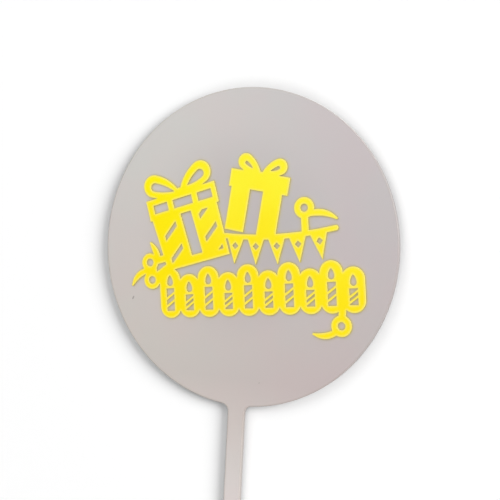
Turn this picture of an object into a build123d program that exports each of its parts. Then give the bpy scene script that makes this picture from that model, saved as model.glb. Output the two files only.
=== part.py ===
from build123d import *
import os
from math import asin, atan2, degrees, radians, sqrt, tan

# Upright in use: +Z up, the front faces -Y, the origin is at the stake's tip.
# Lengths are in millimetres and angles in degrees.

# Plate: disc and stake cut in one piece from sheet acrylic
disc_diameter = 100.0
plate_thickness = 1.5
stake_width = 5.5
stake_length = 58.0  # tip to the disc's lower edge
tip_length = 10.0
tip_width = 1.8
tip_fillet = 0.7
neck_fillet = 2.5
edge_break = 0.1

# Layers on the front
film_thickness = 0.13
sheet_thickness = 0.4

# The motif is laid out about the disc's centre and turned as a whole
motif_turn = 6.3

# Striped gift box, measured from the middle of its lid's top edge
striped_gift_x = -21.6
striped_gift_y = 19.05
striped_gift_tilt = 11.4
striped_lid_width = 25.5
striped_lid_height = 6.85
window_shift = 0.25  # to the right of the lid's middle
window_height = 2.75
window_pitch = 8.15
middle_window_width = 6.9
outer_window_width = 5.1
striped_body_width = 24.0
striped_foot_width = 22.7
striped_body_height = 17.0
striped_body_lean = 3.1  # to the right on the way down
striped_ribbon_shift = 0.4  # to the right of the body's middle
striped_ribbon_width = 3.8
striped_ribbon_height = 13.9
striped_ribbon_drop = 0.2  # below the lid
panel_offset = 6.9  # from the ribbon's middle to a side panel's middle
panel_width = 5.0
panel_height = 13.8
panel_drop = 0.9  # below the lid
left_stripe_count = 2
right_stripe_count = 3
stripe_width = 1.3
stripe_angle = 37.8
stripe_pitch = 7.9
striped_loop_length = 13.3
striped_loop_radius = 3.7
striped_loop_raise = 25.0
striped_left_hole_start = 1.9
striped_right_hole_start = 3.4
striped_hole_end = 10.55
striped_hole_radius = 1.35
striped_hole_drop = 0.25  # below the loop's middle line
striped_knot_radius = 1.3

# Open gift box, whose ribbon is a gap that runs out at the bottom
open_gift_x = 7.1
open_gift_y = 22.7
open_gift_tilt = -13.4
open_lid_width = 20.2
open_lid_height = 5.65
open_body_shift = -0.4  # to the right of the lid's middle
open_body_width = 17.5
open_body_height = 13.6
open_ribbon_width = 4.4
open_knot_shift = 0.2  # to the right of the lid's middle
open_knot_drop = 0.6  # below the lid's top edge
open_loop_length = 9.3
open_loop_radius = 2.6
open_loop_raise = 30.0
open_hole_start = 3.4
open_hole_end = 6.7
open_hole_radius = 0.5
open_hole_drop = 0.1  # below the loop's middle line
open_knot_radius = 1.0

# Bunting: a sagging cord with pennants
bunting_x = 11.3
bunting_y = 2.65
bunting_half_span = 19.5
bunting_sag = 1.6
cord_width = 1.7
pennant_count = 5
pennant_pitch = 6.9
pennant_width = 6.0
pennant_height = 8.6
pennant_window_side = 1.5
pennant_window_depth = 2.9

# Row of candles cut out of a scalloped band
candle_count = 10
candle_pitch = 6.9
first_candle_x = -26.7
band_bottom_y = -21.6
candle_width = 2.7
tall_candle = 7.2
short_candle = 5.0
wick_gap = 0.8
flame_length = 3.4
flame_radius = 1.0
candle_margin = 2.4
twist_count = 2
twist_width = 0.7
twist_angle = 35.0

# Ribbon curls: a ring, a blunt tail that starts on the ring and necks to the pieces that carry the curl
right_ring_radius = 3.3
left_ring_radius = 3.0
ring_hole_radius = 1.2
tail_width = 1.9
tail_tip_width = 0.7
tail_swell = 0.35  # how far each side of a tail bulges
neck_width = 2.4
waist_width = 4.4  # between the two rings on the left
neck_sink = 1.0  # how far a neck runs into the striped gift
upper_neck_drop = 12.7  # below the striped gift's lid
lower_neck_drop = 15.5  # below the striped gift's lid
upper_right_ring_x = 20.9
upper_right_ring_y = 10.9
upper_right_root_x = 22.9
upper_right_root_y = 9.1
upper_right_tail_x = 31.2
upper_right_tail_y = 7.1
upper_right_tail_rise = 0.88
upper_left_ring_x = -33.7
upper_left_ring_y = -3.3
upper_left_root_x = -30.6
upper_left_root_y = -1.8
upper_left_tail_x = -33.1
upper_left_tail_y = 3.0
upper_left_tail_rise = -0.2
lower_left_ring_x = -33.2
lower_left_ring_y = -9.0
lower_left_root_x = -34.8
lower_left_root_y = -5.8
lower_left_tail_x = -40.6
lower_left_tail_y = -10.3
lower_left_tail_rise = -0.9
lower_right_ring_x = 31.0
lower_right_ring_y = -25.4
lower_right_root_x = 29.4
lower_right_root_y = -27.1
lower_right_tail_x = 21.9
lower_right_tail_y = -27.6
lower_right_tail_rise = 0.9

disc_radius = disc_diameter / 2
disc_centre_z = stake_length + disc_radius
scallop_width = candle_width + 2 * candle_margin
last_candle_x = first_candle_x + (candle_count - 1) * candle_pitch
cord_radius = (bunting_half_span**2 + bunting_sag**2) / (2 * bunting_sag)


def teardrop(tip, length, head_radius):
    """Pointed at the tip, with a round half head on +X and sides that curve in to the point."""
    tip_x, tip_y = tip
    with BuildSketch(mode=Mode.PRIVATE) as drop:
        with BuildLine():
            head = CenterArc((tip_x + length - head_radius, tip_y), head_radius, -90, 180)
            TangentArc(head @ 1, tip, tangent=head % 1)
            TangentArc(head @ 0, tip, tangent=-(head % 0))
        make_face()
    return drop.sketch


def bow(loop_length, loop_radius, loop_raise, hole_starts, hole_end, hole_radius, hole_drop, knot_radius):
    """Two loops of ribbon that rise left and right from a knot on the origin."""
    loop_angles = (180 - loop_raise, loop_raise)
    with BuildSketch(mode=Mode.PRIVATE) as loops:
        Circle(knot_radius)
        for angle in loop_angles:
            add(teardrop((0, 0), loop_length, loop_radius), rotation=angle)
        for angle, start, aside in zip(loop_angles, hole_starts, (hole_drop, -hole_drop)):
            hole = teardrop((start, aside), hole_end - start, hole_radius)
            add(hole, rotation=angle, mode=Mode.SUBTRACT)
    return loops.sketch


def along(start, end):
    """Place at the start whose X axis points to the end, and the distance between them."""
    line = Vector(*end) - Vector(*start)
    return Location((*start, 0), (0, 0, degrees(atan2(line.Y, line.X)))), line.length


def ribbon_curl(ring, ring_radius, tail_root, tail_tip, tail_rise, necks):
    """Round of a curl with its arched tail, and a straight neck to each (end, width)."""
    with BuildSketch(mode=Mode.PRIVATE) as curl:
        with Locations(ring):
            Circle(ring_radius)
        tail_place, tail_length = along(tail_root, tail_tip)
        with BuildSketch(mode=Mode.PRIVATE) as tail:
            with BuildLine():
                end = tail_tip_width / 2
                upper = SagittaArc((0, tail_width / 2), (tail_length, end), tail_swell + tail_rise)
                lower = SagittaArc((tail_length, -end), (0, -tail_width / 2), tail_swell - tail_rise)
                ThreePointArc(upper @ 1, (tail_length + end, 0), lower @ 0)
                Line(lower @ 1, upper @ 0)
            make_face()
        with Locations(tail_place):
            add(tail.sketch)
        for neck_end, width in necks:
            neck_place, neck_length = along(ring, neck_end)
            with Locations(neck_place):
                Rectangle(neck_length, width, align=(Align.MIN, Align.CENTER))
    return curl.sketch


def candle(height):
    """Twisted candle with its flame, standing on the origin."""
    twist_pitch = height / (twist_count + 1)
    with BuildSketch(mode=Mode.PRIVATE) as shape:
        with Locations((0, height / 2)):
            Rectangle(candle_width, height)
            with GridLocations(0, twist_pitch, 1, twist_count):
                Rectangle(2 * candle_width, twist_width, rotation=twist_angle, mode=Mode.SUBTRACT)
        with Locations((0, height + wick_gap + flame_length)):
            add(teardrop((0, 0), flame_length, flame_radius), rotation=-90)
    return shape.sketch


def on_body(x, drop):
    """Point of the striped gift's leaning body, x from its middle line and drop below the lid."""
    return (x + drop * tan(radians(striped_body_lean)), -striped_lid_height - drop)


def on_gift_side(drop):
    """Point just inside the striped gift's left side, at a drop below its lid, in the motif's frame."""
    narrowing = (striped_body_width - striped_foot_width) / 2 * drop / striped_body_height
    side = Vector(*on_body(narrowing - striped_body_width / 2 + neck_sink, drop))
    place = side.rotate(Axis.Z, striped_gift_tilt) + Vector(striped_gift_x, striped_gift_y)
    return (place.X, place.Y)


def leaning_panel(middle, top_width, foot_width, drop, height):
    """Four-sided panel with level ends that leans with the striped gift's body."""
    with BuildSketch(mode=Mode.PRIVATE) as panel:
        Polygon(
            on_body(middle - top_width / 2, drop),
            on_body(middle - foot_width / 2, drop + height),
            on_body(middle + foot_width / 2, drop + height),
            on_body(middle + top_width / 2, drop),
            align=None,
        )
    return panel.sketch


def panel_stripes(middle, count):
    """Slanted cuts within one side panel of the striped gift."""
    with BuildSketch(mode=Mode.PRIVATE) as cuts:
        with Locations(on_body(middle, striped_body_height / 2)):
            with GridLocations(0, stripe_pitch, 1, count):
                Rectangle(2 * panel_width, stripe_width, rotation=stripe_angle)
        add(leaning_panel(middle, panel_width, panel_width, panel_drop, panel_height), mode=Mode.INTERSECT)
    return cuts.sketch


with BuildSketch() as striped_gift:
    with Locations((0, -striped_lid_height / 2)):
        Rectangle(striped_lid_width, striped_lid_height)
    add(leaning_panel(0, striped_body_width, striped_foot_width, 0, striped_body_height))
    add(
        bow(
            striped_loop_length,
            striped_loop_radius,
            striped_loop_raise,
            (striped_left_hole_start, striped_right_hole_start),
            striped_hole_end,
            striped_hole_radius,
            striped_hole_drop,
            striped_knot_radius,
        )
    )
    with Locations((window_shift, -striped_lid_height / 2)):
        Rectangle(middle_window_width, window_height, mode=Mode.SUBTRACT)
        with GridLocations(2 * window_pitch, 0, 2, 1):
            Rectangle(outer_window_width, window_height, mode=Mode.SUBTRACT)
    add(
        leaning_panel(
            striped_ribbon_shift,
            striped_ribbon_width,
            striped_ribbon_width,
            striped_ribbon_drop,
            striped_ribbon_height,
        ),
        mode=Mode.SUBTRACT,
    )
    add(panel_stripes(striped_ribbon_shift - panel_offset, left_stripe_count), mode=Mode.SUBTRACT)
    add(panel_stripes(striped_ribbon_shift + panel_offset, right_stripe_count), mode=Mode.SUBTRACT)

with BuildSketch() as open_gift:
    with Locations((0, -open_lid_height / 2)):
        Rectangle(open_lid_width, open_lid_height)
    leg_width = (open_body_width - open_ribbon_width) / 2
    leg_middle = (open_body_width + open_ribbon_width) / 4
    with Locations((open_body_shift, -open_lid_height - open_body_height / 2)):
        with GridLocations(2 * leg_middle, 0, 2, 1):
            Rectangle(leg_width, open_body_height)
    with Locations((open_knot_shift, -open_knot_drop)):
        add(
            bow(
                open_loop_length,
                open_loop_radius,
                open_loop_raise,
                (open_hole_start, open_hole_start),
                open_hole_end,
                open_hole_radius,
                open_hole_drop,
                open_knot_radius,
            )
        )

with BuildSketch() as bunting:
    half_sweep = degrees(asin(bunting_half_span / cord_radius))
    pennant_step = degrees(pennant_pitch / cord_radius)
    cord_centre = (0, cord_radius)
    with BuildLine(mode=Mode.PRIVATE):
        cord_line = CenterArc(cord_centre, cord_radius, -90 - half_sweep, 2 * half_sweep)
    SlotArc(cord_line, cord_width)
    with Locations(cord_centre):
        with PolarLocations(
            cord_radius,
            pennant_count,
            -90 - pennant_step * (pennant_count - 1) / 2,
            pennant_step * (pennant_count - 1),
            endpoint=True,
        ):
            Polygon((0, -pennant_width / 2), (pennant_height, 0), (0, pennant_width / 2), align=None)
            with Locations((pennant_window_depth, 0)):
                Rectangle(pennant_window_side, pennant_window_side, rotation=45, mode=Mode.SUBTRACT)

with BuildSketch() as candle_band:
    candle_heights = [short_candle if index % 2 else tall_candle for index in range(candle_count)]
    for index, height in enumerate(candle_heights):
        scallop_height = height + wick_gap + flame_length + 2 * candle_margin
        with Locations((index * candle_pitch, scallop_height / 2)):
            SlotOverall(scallop_height, scallop_width, rotation=90)
    for index, height in enumerate(candle_heights):
        with Locations((index * candle_pitch, candle_margin)):
            add(candle(height), mode=Mode.SUBTRACT)

cord_drop = cord_radius - sqrt(cord_radius**2 - (upper_right_ring_x - bunting_x) ** 2)
upper_left_ring = (upper_left_ring_x, upper_left_ring_y)

# Each curl: its ring and radius, its tail's root, tip and rise, and its necks
curls = (
    (
        (upper_right_ring_x, upper_right_ring_y),
        right_ring_radius,
        (upper_right_root_x, upper_right_root_y),
        (upper_right_tail_x, upper_right_tail_y),
        upper_right_tail_rise,
        (((upper_right_ring_x, bunting_y + cord_drop), neck_width),),
    ),
    (
        upper_left_ring,
        left_ring_radius,
        (upper_left_root_x, upper_left_root_y),
        (upper_left_tail_x, upper_left_tail_y),
        upper_left_tail_rise,
        ((on_gift_side(upper_neck_drop), neck_width),),
    ),
    (
        (lower_left_ring_x, lower_left_ring_y),
        left_ring_radius,
        (lower_left_root_x, lower_left_root_y),
        (lower_left_tail_x, lower_left_tail_y),
        lower_left_tail_rise,
        (
            (upper_left_ring, waist_width),
            (on_gift_side(lower_neck_drop), neck_width),
            ((first_candle_x - candle_width, lower_left_ring_y), neck_width),
        ),
    ),
    (
        (lower_right_ring_x, lower_right_ring_y),
        right_ring_radius,
        (lower_right_root_x, lower_right_root_y),
        (lower_right_tail_x, lower_right_tail_y),
        lower_right_tail_rise,
        (((last_candle_x - candle_pitch / 2, band_bottom_y + scallop_width / 2), neck_width),),
    ),
)

with BuildSketch() as motif_outline:
    with Locations(Location((striped_gift_x, striped_gift_y, 0), (0, 0, striped_gift_tilt))):
        add(striped_gift.sketch)
    with Locations(Location((open_gift_x, open_gift_y, 0), (0, 0, open_gift_tilt))):
        add(open_gift.sketch)
    with Locations((bunting_x, bunting_y)):
        add(bunting.sketch)
    with Locations((first_candle_x, band_bottom_y)):
        add(candle_band.sketch)
    for curl in curls:
        add(ribbon_curl(*curl))
    with Locations(*[curl[0] for curl in curls]):
        Circle(ring_hole_radius, mode=Mode.SUBTRACT)

with BuildPart() as plate:
    with BuildSketch(Plane.XZ.offset(-plate_thickness / 2)) as plate_outline:
        with Locations((0, disc_centre_z)):
            Circle(disc_radius)
        with BuildLine():
            Polyline(
                (-tip_width / 2, 0),
                (tip_width / 2, 0),
                (stake_width / 2, tip_length),
                (stake_width / 2, disc_centre_z),
                (-stake_width / 2, disc_centre_z),
                (-stake_width / 2, tip_length),
                close=True,
            )
        make_face()
        fillet(plate_outline.vertices().group_by(Axis.Y)[-1], neck_fillet)
        fillet(plate_outline.vertices().group_by(Axis.Y)[0], tip_fillet)
    extrude(amount=plate_thickness)
    chamfer(plate.faces().filter_by(Axis.Y).edges(), edge_break)
plate.part.label = "plate_with_stake"

front_face = Plane(origin=(0, -plate_thickness / 2, disc_centre_z), x_dir=(1, 0, 0), z_dir=(0, -1, 0))

with BuildPart() as film:
    with BuildSketch(front_face):
        add(motif_outline.sketch, rotation=motif_turn)
    extrude(amount=film_thickness)
film.part.label = "adhesive_film"

with BuildPart() as cutout:
    with BuildSketch(front_face.offset(film_thickness)):
        add(motif_outline.sketch, rotation=motif_turn)
    extrude(amount=sheet_thickness)
cutout.part.label = "party_cutout"

os.makedirs("parts", exist_ok=True)
export_step(plate.part, "parts/plate_with_stake.step")
export_step(film.part, "parts/adhesive_film.step")
export_step(cutout.part, "parts/party_cutout.step")
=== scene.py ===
import math

import bmesh
import bpy
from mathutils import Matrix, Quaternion, Vector


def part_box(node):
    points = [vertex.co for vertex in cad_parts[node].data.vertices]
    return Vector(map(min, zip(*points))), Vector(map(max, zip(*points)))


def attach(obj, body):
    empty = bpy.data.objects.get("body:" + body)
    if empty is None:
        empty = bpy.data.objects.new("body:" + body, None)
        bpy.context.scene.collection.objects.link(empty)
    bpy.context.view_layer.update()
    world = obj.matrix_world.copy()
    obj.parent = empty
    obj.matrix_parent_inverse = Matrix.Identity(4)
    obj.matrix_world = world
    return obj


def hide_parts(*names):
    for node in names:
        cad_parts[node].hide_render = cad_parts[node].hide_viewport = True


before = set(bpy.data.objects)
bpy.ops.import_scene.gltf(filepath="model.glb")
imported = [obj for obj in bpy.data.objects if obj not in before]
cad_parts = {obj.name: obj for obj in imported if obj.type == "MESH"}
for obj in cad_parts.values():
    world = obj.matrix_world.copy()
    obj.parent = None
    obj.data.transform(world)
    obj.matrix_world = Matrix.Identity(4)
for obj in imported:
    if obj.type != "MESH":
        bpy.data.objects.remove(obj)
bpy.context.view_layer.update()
mm = 0.001
plateLow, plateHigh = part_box("plate_with_stake")
discRadius = (plateHigh.x - plateLow.x) / 2
discBottom = plateHigh.z - 2 * discRadius
discCentre = Vector((0, 0, plateHigh.z - discRadius))
print("frame loaded:", ", ".join(sorted(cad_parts)))


class Wire:  # one shader socket, so that masks are written as sums
    def __init__(self, tree, socket=None):
        self.tree = tree
        self.socket = socket

    def node(self, kind, settings=None, inputs=None, output=0):
        made = self.tree.nodes.new("ShaderNode" + kind)
        for key, value in (settings or {}).items():
            if key == "stops":  # a colour ramp's places and colours
                ramp = made.color_ramp
                while len(ramp.elements) < len(value):
                    ramp.elements.new(1)
                for element, (place, colour) in zip(ramp.elements, value):
                    element.position = place
                    element.color = colour
            else:
                setattr(made, key, value)
        for key, value in (inputs or {}).items():
            if isinstance(value, Wire):
                self.tree.links.new(value.socket, made.inputs[key])
            else:
                made.inputs[key].default_value = value
        return Wire(self.tree, made.outputs[output] if made.outputs else None)

    def maths(self, operation, first, second):
        return self.node("Math", {"operation": operation}, {0: first, 1: second})

    def __add__(self, other):
        return self.maths("ADD", self, other)

    def __sub__(self, other):
        return self.maths("SUBTRACT", self, other)

    def __mul__(self, other):
        return self.maths("MULTIPLY", self, other)

    def __truediv__(self, other):
        return self.maths("DIVIDE", self, other)

    def __radd__(self, other):
        return self.maths("ADD", other, self)

    def __rsub__(self, other):
        return self.maths("SUBTRACT", other, self)

    def __rmul__(self, other):
        return self.maths("MULTIPLY", other, self)

    def __rtruediv__(self, other):
        return self.maths("DIVIDE", other, self)


def srgb(red, green, blue):  # 0 to 255 as a photo editor shows them
    linear = []
    for level in (red / 255, green / 255, blue / 255):
        linear.append(level / 12.92 if level < 0.04045 else ((level + 0.055) / 1.055) ** 2.4)
    return (*linear, 1)


def newMaterial(name):
    material = bpy.data.materials.new(name)
    material.use_nodes = True
    material.node_tree.nodes.clear()
    return material, Wire(material.node_tree)


def closeMaterial(wire, shader):
    wire.node("OutputMaterial", None, {"Surface": shader})


def mixColour(wire, first, second, amount, blend="MIX"):  # 6, 7 and output 2 are the node's colours
    settings = {"data_type": "RGBA", "blend_type": blend}
    return wire.node("Mix", settings, {0: amount, 6: first, 7: second}, 2)


def fade(value, low, high):  # 0 at low, 1 at high, eased
    settings = {"interpolation_type": "SMOOTHSTEP"}
    return value.node("MapRange", settings, {"Value": value, "From Min": low, "From Max": high})


def axis(place, letter):
    return place.node("SeparateXYZ", None, {0: place}, letter)


def stretched(place, factors):
    return place.node("VectorMath", {"operation": "MULTIPLY"}, {0: place, 1: factors})


def measuredFrom(place, spot):
    return place.node("VectorMath", {"operation": "SUBTRACT"}, {0: place, 1: spot})


def distance(offset):
    return offset.node("VectorMath", {"operation": "LENGTH"}, {0: offset}, "Value")


def grain(place, size, detail=2, stretch=(1, 1, 1)):  # noise about 0.5, with features of this size
    inputs = {"Vector": stretched(place, stretch), "Scale": 1 / size, "Detail": detail}
    return place.node("TexNoise", None, inputs)


# Sheets: flat pieces with rounded edges, made on the outlines of their nodes
tracing = {
    "weld": 0.001 * mm,  # points nearer than this are one
    "wallLean": 0.1,  # the most that a wall's normal leans to the front or back
    "level": 0.01 * mm,  # how far the front edge may waver
    "mitre": 0.4,  # cosine of the half turn below which a tip is blunted
}


def frontOutlines(node):  # closed loops round a node's front edge, as points (x, z)
    shell = bmesh.new()
    shell.from_mesh(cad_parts[node].data)
    bmesh.ops.remove_doubles(shell, verts=shell.verts, dist=tracing["weld"])
    shell.normal_update()
    walls = [face for face in shell.faces if abs(face.normal.y) < tracing["wallLean"]]
    front = min(vert.co.y for face in walls for vert in face.verts)
    follow = {}
    for face in walls:
        for corner in face.loops:
            start, end = corner.vert, corner.link_loop_next.vert
            if max(start.co.y, end.co.y) < front + tracing["level"]:
                follow[start] = end
    loops = []
    while follow:
        vert = next(iter(follow))
        loop = []
        while vert in follow:
            loop.append(Vector((vert.co.x, vert.co.z)))
            vert = follow.pop(vert)
        loops.append(loop)
    shell.free()
    return loops


def insetLoop(loop, inset):  # moved towards the material, blunt at sharp tips
    moved = []
    for index, here in enumerate(loop):
        before = (here - loop[index - 1]).normalized()
        after = (loop[(index + 1) % len(loop)] - here).normalized()
        lean = before + after
        inward = Vector((lean.y, -lean.x)).normalized()
        square = inward.dot(Vector((after.y, -after.x)))
        moved.append(here + inward * inset / max(square, tracing["mitre"]))
    return moved


def edgeRings(front, back, radius, margin, steps):  # inset, depth and rim weight from front to back
    turned = [math.radians(90 * step / steps) for step in range(steps + 1)]
    rounded = [(radius * (1 - math.sin(turn)), radius * (1 - math.cos(turn))) for turn in turned]
    rings = [(margin, front, 0)]
    rings += [(inset, front + depth, 1) for inset, depth in rounded]
    rings += [(inset, back - depth, 1) for inset, depth in reversed(rounded)]
    return rings + [(margin, back, 0)]


def cutSheet(name, piece, material):
    low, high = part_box(piece["node"])
    rings = edgeRings(low.y, high.y, piece["edgeRadius"], piece["edgeMargin"], piece["edgeSteps"])
    body = bmesh.new()
    rimWeight = body.verts.layers.float.new("rim")
    frontEdges, backEdges = [], []
    for loop in frontOutlines(piece["node"]):
        rows = []
        for inset, depth, weight in rings:
            row = [body.verts.new((point.x, depth, point.y)) for point in insetLoop(loop, inset)]
            for vert in row:
                vert[rimWeight] = weight
            rows.append(row)
        for near, far in zip(rows, rows[1:]):
            for index in range(len(loop)):
                body.faces.new((near[index - 1], near[index], far[index], far[index - 1]))
        for row, edges in ((rows[0], frontEdges), (rows[-1], backEdges)):
            edges += [body.edges.get((row[index - 1], row[index])) for index in range(len(row))]
    bmesh.ops.triangle_fill(body, use_beauty=True, edges=frontEdges, normal=(0, -1, 0))
    bmesh.ops.triangle_fill(body, use_beauty=True, edges=backEdges, normal=(0, 1, 0))
    bmesh.ops.recalc_face_normals(body, faces=body.faces)
    openEdges = sum(not edge.is_manifold for edge in body.edges)
    mesh = bpy.data.meshes.new(name)
    body.to_mesh(mesh)
    body.free()
    mesh.shade_smooth()
    mesh.set_sharp_from_angle(angle=math.radians(piece["sharpAngle"]))
    made = bpy.data.objects.new(name, mesh)
    bpy.context.scene.collection.objects.link(made)
    made.data.materials.append(material)
    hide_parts(piece["node"])
    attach(made, "root")
    print(f"{name}: {len(mesh.polygons)} faces, {openEdges} open edges")
    return made


# Plate: disc and stake in pale warm grey sheet acrylic
plate = {
    "node": "plate_with_stake",
    "slot": "plate_acrylic",
    "edgeRadius": 0.16 * mm,  # rounding of the cut edges
    "edgeMargin": 0.6 * mm,  # from the outline to the flat of the face
    "edgeSteps": 3,
    "sharpAngle": 40,  # degrees
    "heightTintAndShade": (  # share of the height over the stake's tip, and the sheet's colour there with painted shading: lighter at the top and on the stake
        (0.0, (222, 213, 210)),
        (0.2, (220, 210, 207)),
        (0.34, (206, 197, 192)),
        (0.42, (199, 189, 185)),
        (0.5, (200, 191, 187)),
        (0.7, (201, 194, 192)),
        (1.0, (206, 201, 199)),
    ),
    "leftTint": (253, 255, 254),  # painted shading laid over the tint, from left to right
    "rightPaintedShade": (244, 241, 246),
    "middlePaintedShade": (243, 243, 244),  # and a painted shade over the middle of the disc
    "middleSpot": (-4 * mm, 4 * mm),  # along and up from the disc's centre
    "middleReach": (14 * mm, 37 * mm),
    "cloudSize": 26 * mm,
    "cloudSpread": (0.35, 0.65),
    "cloudWarm": (255, 253, 252),
    "cloudCool": (252, 255, 253),
    "flecks": (  # along and up from the disc's centre, and radius
        (-39.1 * mm, -18.9 * mm, 0.62 * mm),
        (-9.5 * mm, -8.8 * mm, 0.35 * mm),
        (7.5 * mm, -42.0 * mm, 0.25 * mm),
    ),
    "fleckTint": (160, 152, 147),
    "fleckCore": 0.6,  # share of the radius that is dark all over
    "fleckLean": 28,  # degrees, the flecks are smeared up to the right
    "fleckSqueeze": (1.8, 1, 0.8),
    "fleckFray": 0.25 * mm,
    "bounceShadeTint": (190, 177, 92),  # painted shade, tinted with painted yellow bounce light, on the sheet beside the cut-out
    "bounceShadeReach": 1.4 * mm,
    "bounceShadeSpread": (0.02, 0.45),
    "bounceShadeStrength": 0.75,
    "bounceShadeSamples": 8,
    "cutShade": (242, 241, 237),  # the cut edge is a little darker than the face
    "cutSize": 0.25 * mm,
    "cutStretch": (1, 0.05, 1),  # its streaks run through the thickness
    "cutStreak": 0.2,
    "hairSize": 1.1 * mm,
    "hairStretch": (0.08, 1, 1.3),  # hairlines run across
    "hairSpread": (0.62, 0.72),
    "smudgeSize": 9 * mm,
    "roughness": {"sheet": 0.42, "smudge": 0.1, "hair": -0.06, "cut": -0.1},
    "waveSize": 2.5 * mm,
    "relief": {"wave": 0.3, "cut": 0.2, "hair": -0.1},
    "bump": {"Strength": 0.12, "Distance": 0.05 * mm},
    "specular": 0.4,
}


def acrylicTintAndShade(wire, place):  # the sheet's colour with painted shading by place, clouded
    stops = [(share, srgb(*tint)) for share, tint in plate["heightTintAndShade"]]
    tint = wire.node("ValToRGB", {"stops": stops}, {0: axis(place, "Z") / plateHigh.z})
    rightward = fade(axis(place, "X"), -discRadius, discRadius)
    side = mixColour(wire, srgb(*plate["leftTint"]), srgb(*plate["rightPaintedShade"]), rightward)
    tint = mixColour(wire, tint, side, 1.0, "MULTIPLY")
    along, up = plate["middleSpot"]
    away = distance(measuredFrom(place, (along, 0, discCentre.z + up)))
    middle = 1 - fade(away, *plate["middleReach"])
    tint = mixColour(wire, tint, srgb(*plate["middlePaintedShade"]), middle, "MULTIPLY")
    cloud = fade(grain(place, plate["cloudSize"], detail=3), *plate["cloudSpread"])
    clouds = mixColour(wire, srgb(*plate["cloudCool"]), srgb(*plate["cloudWarm"]), cloud)
    return mixColour(wire, tint, clouds, 1.0, "MULTIPLY")


def withFlecks(wire, place, tint):
    fray = Vector((plate["fleckFray"],) * 3)
    wobble = wire.node("TexNoise", None, {"Vector": place, "Scale": 1 / plate["fleckFray"]}, "Color")
    frayed = wire.node("VectorMath", {"operation": "MULTIPLY_ADD"}, {0: wobble, 1: fray, 2: place})
    lean = -math.radians(plate["fleckLean"])
    for along, up, radius in plate["flecks"]:
        spot = Vector((along, plateLow.y, discCentre.z + up)) + fray / 2
        inputs = {"Vector": measuredFrom(frayed, spot), "Angle": lean}
        turned = wire.node("VectorRotate", {"rotation_type": "Y_AXIS"}, inputs)
        away = distance(stretched(turned, plate["fleckSqueeze"]))
        fleck = 1 - fade(away, plate["fleckCore"] * radius, radius)
        tint = mixColour(wire, tint, srgb(*plate["fleckTint"]), fleck)
    return tint


def withPaintedBounceShade(wire, place, tint):  # painted shade with painted yellow bounce light, on the disc's front alone, close to what stands on it
    reach = {"Distance": plate["bounceShadeReach"]}
    openness = wire.node("AmbientOcclusion", {"samples": plate["bounceShadeSamples"]}, reach, "AO")
    onFront = 1 - fade(axis(place, "Y"), plateLow.y, 0)
    onDisc = fade(axis(place, "Z"), discBottom, discBottom + plate["bounceShadeReach"])
    paintedBounceShade = plate["bounceShadeStrength"] * fade(1 - openness, *plate["bounceShadeSpread"]) * onFront * onDisc
    return mixColour(wire, tint, srgb(*plate["bounceShadeTint"]), paintedBounceShade)


def acrylicPlate():
    material, wire = newMaterial("plateAcrylic")
    place = wire.node("TexCoord", output="Object")
    rim = wire.node("Attribute", {"attribute_name": "rim"}, None, "Fac")
    cut = grain(place, plate["cutSize"], stretch=plate["cutStretch"])
    hair = grain(place, plate["hairSize"], detail=3, stretch=plate["hairStretch"])
    hairlines = fade(hair, *plate["hairSpread"])
    smudges = grain(place, plate["smudgeSize"], detail=4) - 0.5
    waves = grain(place, plate["waveSize"])
    tint = withFlecks(wire, place, acrylicTintAndShade(wire, place))
    tint = withPaintedBounceShade(wire, place, tint)
    streaks = rim * (1 - plate["cutStreak"] + plate["cutStreak"] * cut)
    tint = mixColour(wire, tint, srgb(*plate["cutShade"]), streaks, "MULTIPLY")
    rough = plate["roughness"]
    roughness = rough["sheet"] + rough["smudge"] * smudges + rough["hair"] * hairlines + rough["cut"] * rim
    height = plate["relief"]
    relief = height["wave"] * waves + height["cut"] * rim * cut + height["hair"] * hairlines
    shader = wire.node(
        "BsdfPrincipled",
        None,
        {
            "Base Color": tint,
            "Roughness": roughness,
            "Specular IOR Level": plate["specular"],
            "Normal": wire.node("Bump", None, {**plate["bump"], "Height": relief}),
        },
    )
    closeMaterial(wire, shader)
    return material


plateBody = cutSheet("plateBody", plate, acrylicPlate())


# Adhesive: a thin clear layer under the cut-out, with small bubbles
adhesive = {
    "node": "adhesive_film",
    "slot": "clear_adhesive",
    "edgeRadius": 0.03 * mm,
    "edgeMargin": 0.08 * mm,
    "edgeSteps": 2,
    "sharpAngle": 50,
    "tint": (205, 196, 150),
    "bubbleTint": (226, 220, 190),
    "bubbleSize": 0.6 * mm,
    "bubbleEdge": (0.15, 0.4),
    "roughness": {"layer": 0.25, "bubble": 0.2},
    "alpha": {"layer": 0.55, "bubble": 0.3},
}


def clearAdhesive():
    material, wire = newMaterial("clearAdhesive")
    place = wire.node("TexCoord", output="Object")
    inputs = {"Vector": place, "Scale": 1 / adhesive["bubbleSize"]}
    bubble = 1 - fade(wire.node("TexVoronoi", None, inputs, "Distance"), *adhesive["bubbleEdge"])
    rough, alpha = adhesive["roughness"], adhesive["alpha"]
    shader = wire.node(
        "BsdfPrincipled",
        None,
        {
            "Base Color": mixColour(wire, srgb(*adhesive["tint"]), srgb(*adhesive["bubbleTint"]), bubble),
            "Roughness": rough["layer"] + rough["bubble"] * bubble,
            "Alpha": alpha["layer"] + alpha["bubble"] * bubble,
        },
    )
    closeMaterial(wire, shader)
    return material


cutSheet("adhesiveLayer", adhesive, clearAdhesive())
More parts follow.
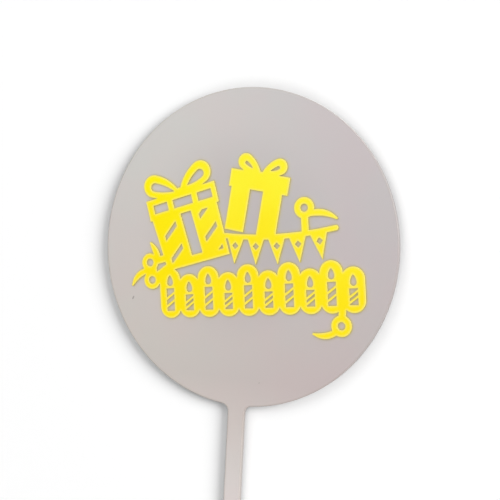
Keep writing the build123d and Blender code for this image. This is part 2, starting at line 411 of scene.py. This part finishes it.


# Cut-out: lemon-yellow sheet with a painted pale highlight along its edges, and a browned cut wall
cutout = {
    "node": "party_cutout",
    "slot": "yellow_sheet",
    "edgeRadius": 0.1 * mm,
    "edgeMargin": 0.2 * mm,
    "edgeSteps": 3,
    "sharpAngle": 40,
    "deepYellow": (252, 227, 14),
    "clearYellow": (252, 240, 48),
    "toneSlant": 0.15,  # the clear yellow lies up and a little to the right
    "toneReach": (-15 * mm, 28 * mm),
    "toneSize": 16 * mm,
    "fibreSize": 0.5 * mm,
    "fibreStrength": 0.3,
    "leftTint": (255, 255, 80),  # the yellow is purer on the left
    "leftReach": (-28 * mm, -6 * mm),
    # painted highlight, paler yellow, along the edges
    "rimHighlight": (247, 231, 126),
    "rimWidth": 1.4 * mm,
    "rimFacing": (0.75, 0.995),
    "rimStrength": 0.85,
    "rimSamples": 8,
    "scorched": (142, 126, 62),
    "scorchReach": (0.03 * mm, 0.09 * mm),  # below the front face
    "scorchStrength": 0.85,
    "roughness": {"sheet": 0.45, "tone": 0.1},
    "reliefSize": 0.3 * mm,
    "bump": {"Strength": 0.1, "Distance": 0.03 * mm},
    "specular": 0.15,
}


def lemonTint(wire, place, tones):  # the sheet's yellow, which changes over the motif
    x, z = axis(place, "X"), axis(place, "Z")
    across = fade(cutout["toneSlant"] * x + (z - discCentre.z), *cutout["toneReach"])
    fibre = grain(place, cutout["fibreSize"], detail=3) - 0.5
    clear = across + tones + cutout["fibreStrength"] * fibre
    tint = mixColour(wire, srgb(*cutout["deepYellow"]), srgb(*cutout["clearYellow"]), clear)
    leftward = 1 - fade(x, *cutout["leftReach"])
    return mixColour(wire, tint, srgb(*cutout["leftTint"]), leftward, "MULTIPLY")


# painted highlight: paler yellow where the edge rounds away from the front
def withPaintedRimHighlight(wire, tint):
    leaning = wire.node("Bevel", {"samples": cutout["rimSamples"]}, {"Radius": cutout["rimWidth"]})
    forward = {0: leaning, 1: (0, -1, 0)}
    facing = wire.node("VectorMath", {"operation": "DOT_PRODUCT"}, forward, "Value")
    rim = cutout["rimStrength"] * (1 - fade(facing, *cutout["rimFacing"]))
    return mixColour(wire, tint, srgb(*cutout["rimHighlight"]), rim)


def lemonSheet():
    material, wire = newMaterial("lemonSheet")
    place = wire.node("TexCoord", output="Object")
    tones = grain(place, cutout["toneSize"], detail=3) - 0.5
    tint = withPaintedRimHighlight(wire, lemonTint(wire, place, tones))
    depth = axis(place, "Y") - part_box(cutout["node"])[0].y
    wall = cutout["scorchStrength"] * fade(depth, *cutout["scorchReach"])
    tint = mixColour(wire, tint, srgb(*cutout["scorched"]), wall)
    relief = grain(place, cutout["reliefSize"], detail=3)
    rough = cutout["roughness"]
    shader = wire.node(
        "BsdfPrincipled",
        None,
        {
            "Base Color": tint,
            "Roughness": rough["sheet"] + rough["tone"] * tones,
            "Specular IOR Level": cutout["specular"],
            "Normal": wire.node("Bump", None, {**cutout["bump"], "Height": relief}),
        },
    )
    closeMaterial(wire, shader)
    return material


cutSheet("partyCutout", cutout, lemonSheet())
print("pieces made and finished")


# Stage: a pale floor and a pale backdrop, which show only from above and from the front
stage = {
    "width": 4.0,
    "height": 3.0,
    "gap": 2.2 * mm,  # behind the disc's centre
    "lean": 0.6,  # degrees, the backdrop is nearer at the stake
    "floor": {"colour": (250, 250, 250), "lift": 0.5},
    "backdrop": {"colour": (254, 254, 254), "lift": 0.01},
}


def rayMask(wire):  # rays that see the background: straight, mirrored or through glass
    straight = wire.node("LightPath", output="Is Camera Ray")
    mirrored = wire.node("LightPath", output="Is Glossy Ray")
    through = wire.node("LightPath", output="Is Transmission Ray")
    return wire.maths("MINIMUM", straight + mirrored + through, 1.0)


def palePaper(name, paper):  # takes the object's shadow, lifted to white, and lets the lamps shine through
    material, wire = newMaterial(name)
    behind = wire.node("NewGeometry", output="Backfacing")
    glow = wire.node("Emission", None, {"Color": (1, 1, 1, 1), "Strength": paper["lift"]})
    sheet = wire.node("BsdfDiffuse", None, {"Color": srgb(*paper["colour"])})
    lifted = wire.node("AddShader", None, {0: sheet, 1: glow})
    clear = wire.node("BsdfTransparent")
    seen = rayMask(wire) * (1 - behind)
    closeMaterial(wire, wire.node("MixShader", None, {0: seen, 1: clear, 2: lifted}))
    return material


def stagePlane(name, centre, across, up):
    corners = [centre + across * a + up * b for a, b in ((-1, -1), (1, -1), (1, 1), (-1, 1))]
    mesh = bpy.data.meshes.new(name)
    mesh.from_pydata([tuple(corner) for corner in corners], [], [(0, 1, 2, 3)])
    made = bpy.data.objects.new(name, mesh)
    bpy.context.scene.collection.objects.link(made)
    made.data.materials.append(palePaper(name + "Paper", stage[name]))


rightward = Vector((stage["width"] / 2, 0, 0))
backward = Vector((0, stage["width"] / 2, 0))
lean = math.tan(math.radians(stage["lean"]))
upward = Vector((0, lean, 1)) * stage["height"] / 2
wallFoot = Vector((0, plateHigh.y + stage["gap"] - discCentre.z * lean, plateLow.z))
stagePlane("floor", Vector((0, 0, plateLow.z)), rightward, backward)
stagePlane("backdrop", wallFoot + upward, rightward, upward)
print("stage set")


# Light: a soft key from the right, weaker soft lamps round the front, a back light and an even room
lamps = {  # degrees round and above the disc's centre, metres
    "key": {"azimuth": 59, "elevation": 14, "distance": 6.4, "size": 3.6, "level": 0.94},
    "front": {"azimuth": 0, "elevation": 0, "distance": 3.2, "size": 7.5, "level": 0.118},
    "upperLeft": {"azimuth": -35, "elevation": 35, "distance": 3.2, "size": 2.6, "level": 0.215},
    "upperRight": {"azimuth": 40, "elevation": 45, "distance": 3.2, "size": 2.6, "level": 0.135},
    "below": {"azimuth": 10, "elevation": -38, "distance": 3.2, "size": 2.6, "level": 0.19},
    "back": {"azimuth": 205, "elevation": 25, "distance": 1.6, "size": 1.2, "level": 1.3},
}
room = {"level": 0.06, "background": 1.0}


def softLamp(name, lamp):  # level 1 shows a surface that faces the lamp as its colour is written
    light = bpy.data.lights.new(name, "AREA")
    light.shape = "DISK"
    light.size = lamp["size"]
    light.energy = lamp["level"] * math.pi**2 * (lamp["distance"] ** 2 + lamp["size"] ** 2 / 4)
    made = bpy.data.objects.new(name, light)
    bpy.context.scene.collection.objects.link(made)
    aside, above = math.radians(lamp["azimuth"]), math.radians(lamp["elevation"])
    flat = Vector((math.sin(aside), -math.cos(aside), 0)) * math.cos(above)
    towards = flat + Vector((0, 0, math.sin(above)))
    made.location = discCentre + towards * lamp["distance"]
    made.rotation_mode = "QUATERNION"
    made.rotation_quaternion = (-towards).to_track_quat("-Z", "Y")
    return made


lit = {name: softLamp(name, lamp) for name, lamp in lamps.items()}
lit["back"].data.cycles.max_bounces = 0  # none of it reaches the front
shadowCasters = bpy.data.collections.new("keyShadowCasters")  # the thin cut-out lets the key through
shadowCasters.objects.link(plateBody)
lit["key"].light_linking.blocker_collection = shadowCasters

world = bpy.data.worlds.new("paleRoom")
world.use_nodes = True
world.node_tree.nodes.clear()
sky = Wire(world.node_tree)
dim = sky.node("Background", None, {"Color": (1, 1, 1, 1), "Strength": room["level"]})
white = sky.node("Background", None, {"Color": (1, 1, 1, 1), "Strength": room["background"]})
shown = sky.node("MixShader", None, {0: rayMask(sky), 1: dim, 2: white})
sky.node("OutputWorld", None, {"Surface": shown})
bpy.context.scene.world = world
bpy.context.scene.view_settings.view_transform = "Standard"
print("lights on")


# Camera: to the right of the plate and just above its middle
photoView = {
    "location": (133.3 * mm, -293.35 * mm, 117.3 * mm),
    "lookAt": (2.1 * mm, -0.75 * mm, 107.2 * mm),
    "roll": 2.92,  # degrees
    "lens": 73.96,  # in millimetres, as the sensor
    "sensor": 36.0,
    "clipStart": 1 * mm,
}
lens = bpy.data.cameras.new("photoCamera")
lens.lens = photoView["lens"]
lens.sensor_width = photoView["sensor"]
lens.clip_start = photoView["clipStart"]
camera = bpy.data.objects.new("photoCamera", lens)
bpy.context.scene.collection.objects.link(camera)
camera.location = photoView["location"]
sight = Vector(photoView["lookAt"]) - camera.location
roll = Quaternion((0, 0, 1), math.radians(photoView["roll"]))
camera.rotation_mode = "QUATERNION"
camera.rotation_quaternion = sight.to_track_quat("-Z", "Y") @ roll
bpy.context.scene.camera = camera
print("camera placed")
